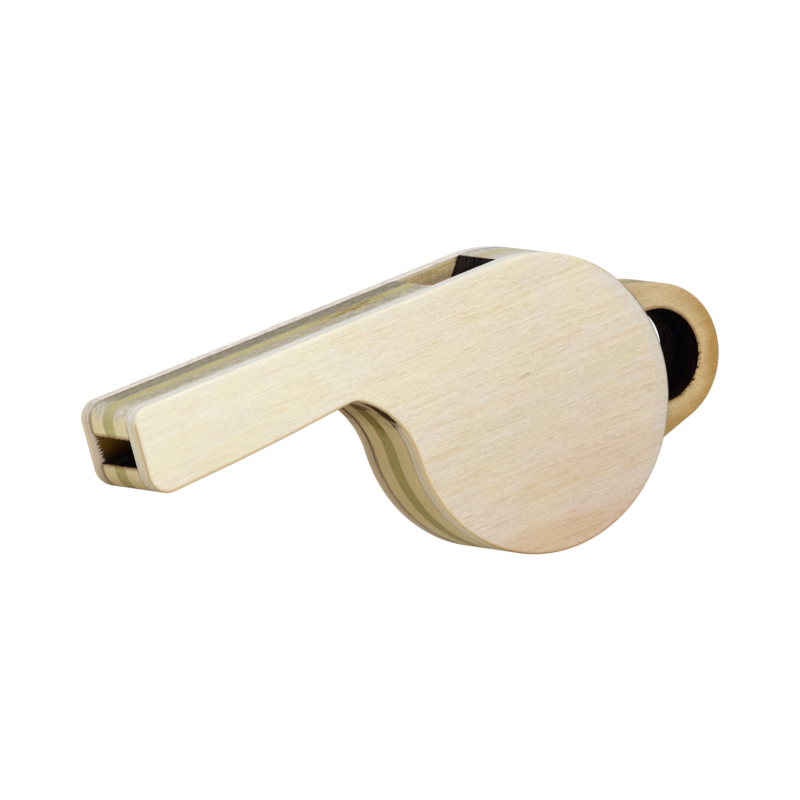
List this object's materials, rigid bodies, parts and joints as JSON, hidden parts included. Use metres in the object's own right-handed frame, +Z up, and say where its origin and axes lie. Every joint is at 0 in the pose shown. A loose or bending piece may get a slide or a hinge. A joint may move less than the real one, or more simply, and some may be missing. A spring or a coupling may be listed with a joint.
{
  "type": "pea whistle",
  "caption": "Flat laminated wooden pea whistle: round chamber with a loose pea, straight mouthpiece with a windway slot, a window cut in the top edge and a lanyard loop at the back.",
  "frame": {"origin": "centre of the bounding box at its base, on the table that the whistle's belly and its lower mouth corner touch", "axes": "+X from the mouth end towards the lanyard loop, +Y from the right side plate to the left one as the player sees them, +Z up"},
  "size_m": [0.0622, 0.01, 0.0278],
  "materials": {
    "face_veneer": "sanded, pale and fine-grained",
    "inner_veneer": "sanded edge, greyish",
    "core_ply": "sanded edge, tan",
    "green_ply": "sanded edge, greenish",
    "cork": "matt cork"
  },
  "bodies": {
    "body": {"right_face_veneer": "face_veneer", "right_inner_veneer": "inner_veneer", "core_right_ply": "core_ply", "roof_right_ply": "core_ply", "core_middle_ply": "green_ply", "roof_middle_ply": "green_ply", "core_left_ply": "core_ply", "roof_left_ply": "core_ply", "left_inner_veneer": "inner_veneer", "left_face_veneer": "face_veneer"},
    "pea": {"pea": "cork"}
  },
  "joints": [
    {"name": "pea_roll", "type": "hinge", "parent": "body", "child": "pea", "pos_m": [0.01156, 0, 0.0139], "axis": [0, 1, 0], "continuous": true}
  ]
}
